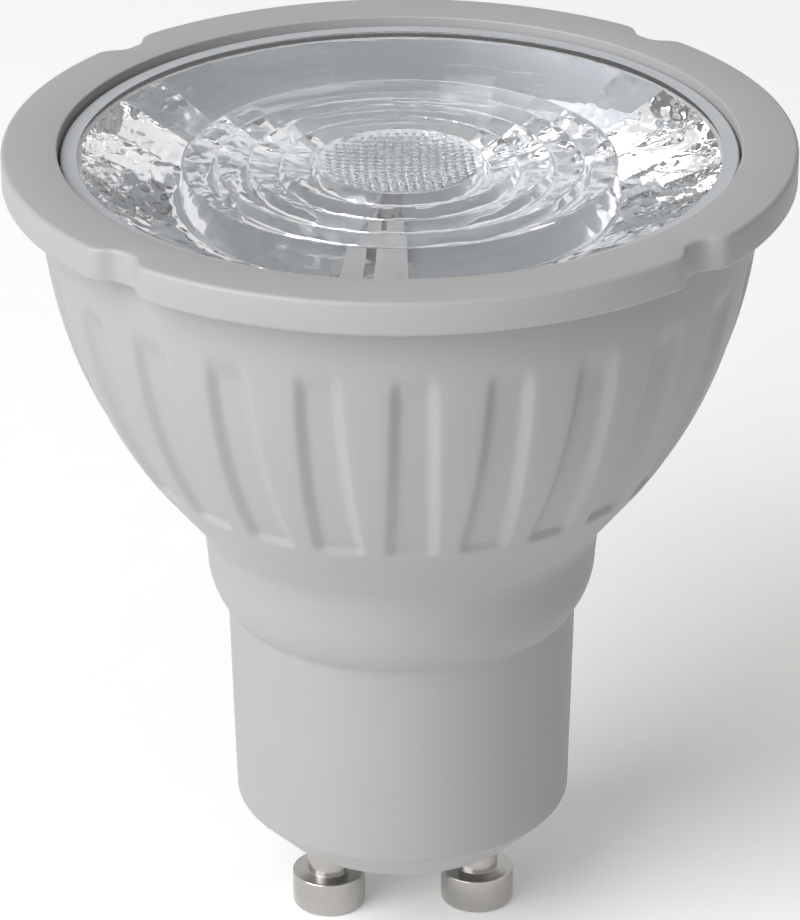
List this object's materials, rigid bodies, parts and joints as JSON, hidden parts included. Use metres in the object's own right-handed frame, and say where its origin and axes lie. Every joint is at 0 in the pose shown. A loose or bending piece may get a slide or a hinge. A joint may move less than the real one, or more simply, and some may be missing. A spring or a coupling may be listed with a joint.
{
  "type": "gu10 spotlight bulb",
  "caption": "Reflector-shaped spotlight bulb with a fluted moulded housing, a notched rim, a clear faceted lens and a twist-lock cap with contact pins.",
  "frame": {"origin": "on the plane of the pin feet, midway between the two contact pins, on the bulb's axis", "axes": "+Z along the bulb's axis from the cap to the lens, +X along the line of the two pins"},
  "size_m": [0.05, 0.05, 0.0555],
  "materials": {
    "housing_plastic": "satin moulded",
    "lens_acrylic": "clear moulded acrylic",
    "pin_nickel": "nickel plated, polished",
    "pan_aluminium": "pressed, satin",
    "board_white": "white solder mask",
    "package_ceramic": "matt white",
    "phosphor": "silicone with phosphor, satin",
    "screw_steel": "zinc plated",
    "bush_nylon": "moulded, white",
    "board_epoxy": "green solder mask",
    "black_epoxy": "moulded, matt",
    "can_sleeve": "shrink sleeve over aluminium",
    "film_dip": "dipped",
    "ferrite": "sintered, matt",
    "winding_copper": "enamelled",
    "resistor_coat": "coated",
    "tinned_wire": "tinned",
    "wire_white": "insulated",
    "wire_grey": "insulated"
  },
  "bodies": {
    "root": {"housing": "housing_plastic", "lens": "lens_acrylic", "contact_pin_left": "pin_nickel", "contact_pin_right": "pin_nickel", "heat_sink_pan": "pan_aluminium", "led_board": "board_white", "led_package": "package_ceramic", "led_phosphor": "phosphor", "board_screws": "screw_steel", "lead_bush": "bush_nylon", "driver_board": "board_epoxy", "bridge_rectifier": "black_epoxy", "driver_chip": "black_epoxy", "input_capacitor": "can_sleeve", "output_capacitor": "can_sleeve", "film_capacitor": "film_dip", "choke_core": "ferrite", "choke_winding": "winding_copper", "fusible_resistor": "resistor_coat", "pin_wire": "tinned_wire", "led_wire_white": "wire_white", "led_wire_grey": "wire_grey"}
  },
  "joints": []
}
